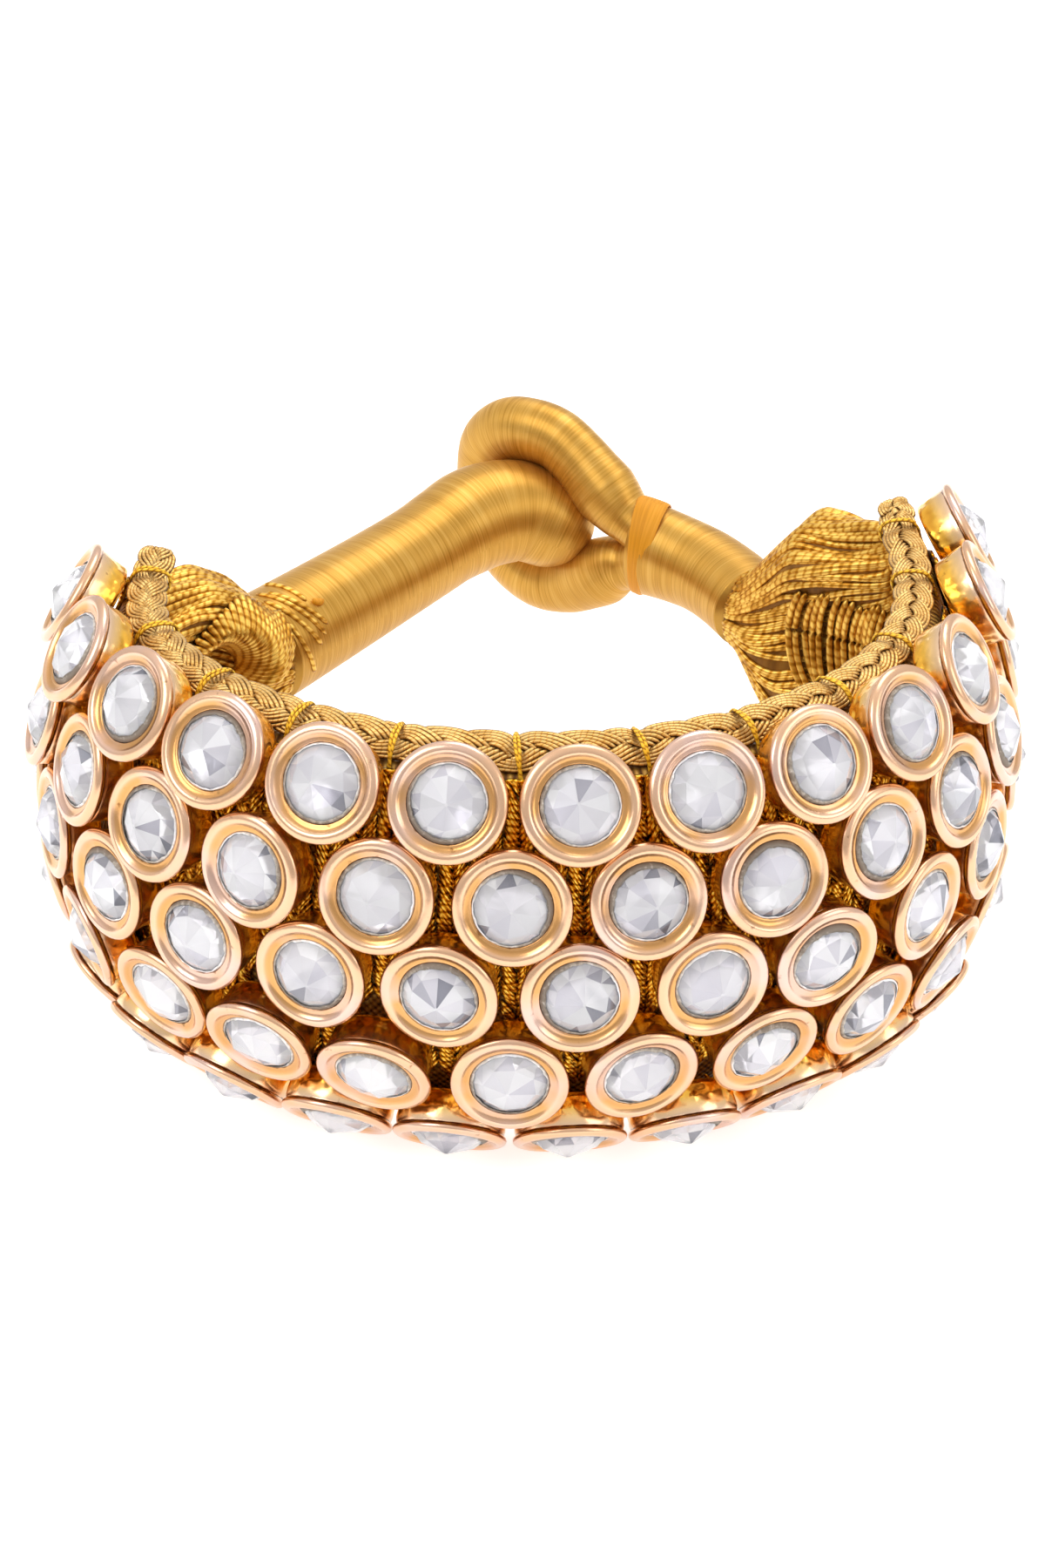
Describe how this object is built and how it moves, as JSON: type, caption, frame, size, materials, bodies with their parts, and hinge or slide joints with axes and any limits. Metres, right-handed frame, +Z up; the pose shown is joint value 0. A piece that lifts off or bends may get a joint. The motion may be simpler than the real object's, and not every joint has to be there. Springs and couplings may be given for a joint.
{
  "type": "stone-set cuff bracelet",
  "caption": "Fastened cuff bracelet: staggered rows of gilt cups set with foil-backed glass stones on a metallic-thread band, closed by a wound barrel through a wound loop.",
  "frame": {"origin": "centre of the bounding box seen from above, on the surface that the lowest cup rims stand on", "axes": "+Z up through the wrist opening, -Y towards the middle of the stone rows, +Y towards the loop at the back, +X to the right of the front"},
  "size_m": [0.077, 0.0818, 0.036],
  "materials": {
    "gilt_cup": "rose-gold plated rims with hammered foil-gold walls and dark patina in the hollows",
    "glass_stone": "polished rose-cut glass over crinkled silver foil",
    "zari_band": "woven dark-gold metallic thread in a herringbone",
    "zari_cord": "plaited light-gold metallic thread with a silky shine",
    "wound_thread": "fine ochre-gold metallic thread wound side by side, silky",
    "binding_thread": "bright yellow-gold silk thread"
  },
  "bodies": {
    "root": {"backing_band": "zari_band", "edge_cord_top": "zari_cord", "edge_cord_bottom": "zari_cord", "cups_row_1": "gilt_cup", "cups_row_2": "gilt_cup", "cups_row_3": "gilt_cup", "cups_row_4": "gilt_cup", "cups_row_5": "gilt_cup", "stones_row_1": "glass_stone", "stones_row_2": "glass_stone", "stones_row_3": "glass_stone", "stones_row_4": "glass_stone", "stones_row_5": "glass_stone", "gather_left": "zari_cord", "gather_right": "zari_cord", "toggle_barrel": "wound_thread", "loop_rope": "wound_thread", "loop_binding": "binding_thread", "closure_loop": "wound_thread"}
  },
  "joints": []
}
